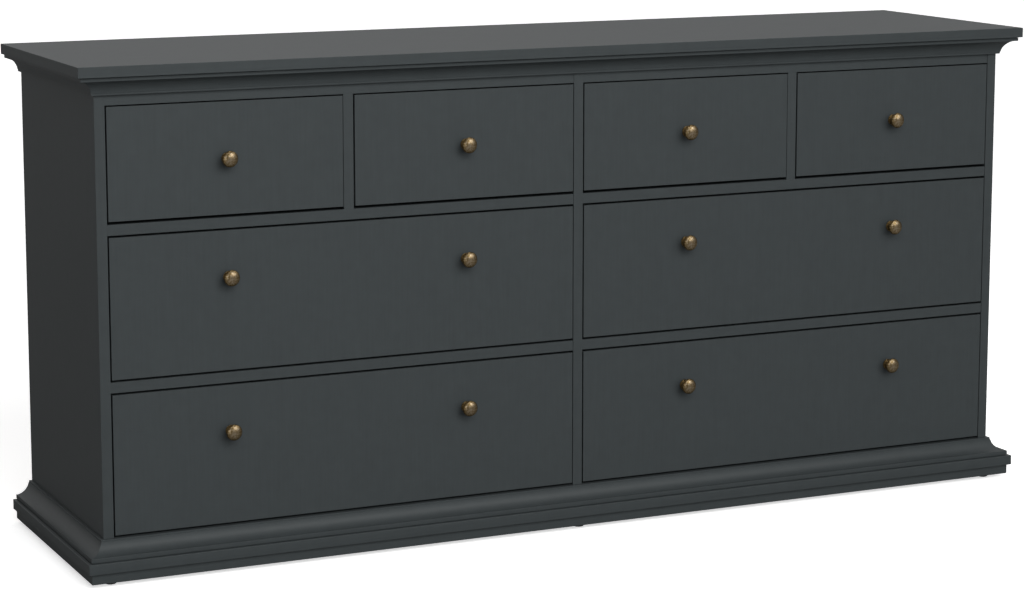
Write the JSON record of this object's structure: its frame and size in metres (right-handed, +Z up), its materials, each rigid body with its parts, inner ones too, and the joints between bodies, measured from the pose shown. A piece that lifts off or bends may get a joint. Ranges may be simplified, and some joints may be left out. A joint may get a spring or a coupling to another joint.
{
  "type": "dresser with drawers",
  "caption": "Wide low dresser with inset flat drawer fronts over two bays, round knobs, cove-moulded base and cornice.",
  "frame": {"origin": "on the floor, under the centre of the top board", "axes": "+X to the right seen from the front, +Y to the back, +Z up; the drawers open along -Y"},
  "size_m": [1.827, 0.482, 0.866],
  "materials": {
    "graphite_foil": "matt dark graphite foil on board, very faint grain",
    "drawer_foil": "matt light grey foil on board",
    "hardboard": "light painted face on thin hardboard",
    "antique_brass": "turned, patinated and lightly polished",
    "runner_steel": "white powder-coated steel",
    "white_nylon": "moulded nylon",
    "zinc_steel": "bright zinc plate",
    "black_plastic": "moulded, fine texture"
  },
  "bodies": {
    "carcass": {"top_board": "graphite_foil", "side_panel_left": "graphite_foil", "side_panel_right": "graphite_foil", "centre_panel": "graphite_foil", "divider_left": "graphite_foil", "divider_right": "graphite_foil", "shelves": "graphite_foil", "mid_rails": "graphite_foil", "top_rails": "graphite_foil", "bottom_board": "graphite_foil", "back_panels": "hardboard", "plinth_boards": "graphite_foil", "base_band": "graphite_foil", "base_moulding": "graphite_foil", "cornice_front": "graphite_foil", "cornice_sides": "graphite_foil", "floor_glides": "black_plastic", "cabinet_runners": "runner_steel", "runner_glides": "white_nylon", "cam_fittings": "zinc_steel"},
    "drawer_top_1": {"top_1_front": "graphite_foil", "top_1_box": "drawer_foil", "top_1_bottom": "hardboard", "top_1_knob": "antique_brass", "top_1_runners": "runner_steel"},
    "drawer_top_2": {"top_2_front": "graphite_foil", "top_2_box": "drawer_foil", "top_2_bottom": "hardboard", "top_2_knob": "antique_brass", "top_2_runners": "runner_steel"},
    "drawer_top_3": {"top_3_front": "graphite_foil", "top_3_box": "drawer_foil", "top_3_bottom": "hardboard", "top_3_knob": "antique_brass", "top_3_runners": "runner_steel"},
    "drawer_top_4": {"top_4_front": "graphite_foil", "top_4_box": "drawer_foil", "top_4_bottom": "hardboard", "top_4_knob": "antique_brass", "top_4_runners": "runner_steel"},
    "drawer_middle_left": {"middle_left_front": "graphite_foil", "middle_left_box": "drawer_foil", "middle_left_bottom": "hardboard", "middle_left_knobs": "antique_brass", "middle_left_runners": "runner_steel"},
    "drawer_middle_right": {"middle_right_front": "graphite_foil", "middle_right_box": "drawer_foil", "middle_right_bottom": "hardboard", "middle_right_knobs": "antique_brass", "middle_right_runners": "runner_steel"},
    "drawer_bottom_left": {"bottom_left_front": "graphite_foil", "bottom_left_box": "drawer_foil", "bottom_left_bottom": "hardboard", "bottom_left_knobs": "antique_brass", "bottom_left_runners": "runner_steel"},
    "drawer_bottom_right": {"bottom_right_front": "graphite_foil", "bottom_right_box": "drawer_foil", "bottom_right_bottom": "hardboard", "bottom_right_knobs": "antique_brass", "bottom_right_runners": "runner_steel"}
  },
  "joints": [
    {"name": "top_1_slide", "type": "slide", "parent": "carcass", "child": "drawer_top_1", "axis": [0, -1, 0], "range_m": [0, 0.3]},
    {"name": "top_2_slide", "type": "slide", "parent": "carcass", "child": "drawer_top_2", "axis": [0, -1, 0], "range_m": [0, 0.3]},
    {"name": "top_3_slide", "type": "slide", "parent": "carcass", "child": "drawer_top_3", "axis": [0, -1, 0], "range_m": [0, 0.3]},
    {"name": "top_4_slide", "type": "slide", "parent": "carcass", "child": "drawer_top_4", "axis": [0, -1, 0], "range_m": [0, 0.3]},
    {"name": "middle_left_slide", "type": "slide", "parent": "carcass", "child": "drawer_middle_left", "axis": [0, -1, 0], "range_m": [0, 0.3]},
    {"name": "middle_right_slide", "type": "slide", "parent": "carcass", "child": "drawer_middle_right", "axis": [0, -1, 0], "range_m": [0, 0.3]},
    {"name": "bottom_left_slide", "type": "slide", "parent": "carcass", "child": "drawer_bottom_left", "axis": [0, -1, 0], "range_m": [0, 0.3]},
    {"name": "bottom_right_slide", "type": "slide", "parent": "carcass", "child": "drawer_bottom_right", "axis": [0, -1, 0], "range_m": [0, 0.3]}
  ]
}
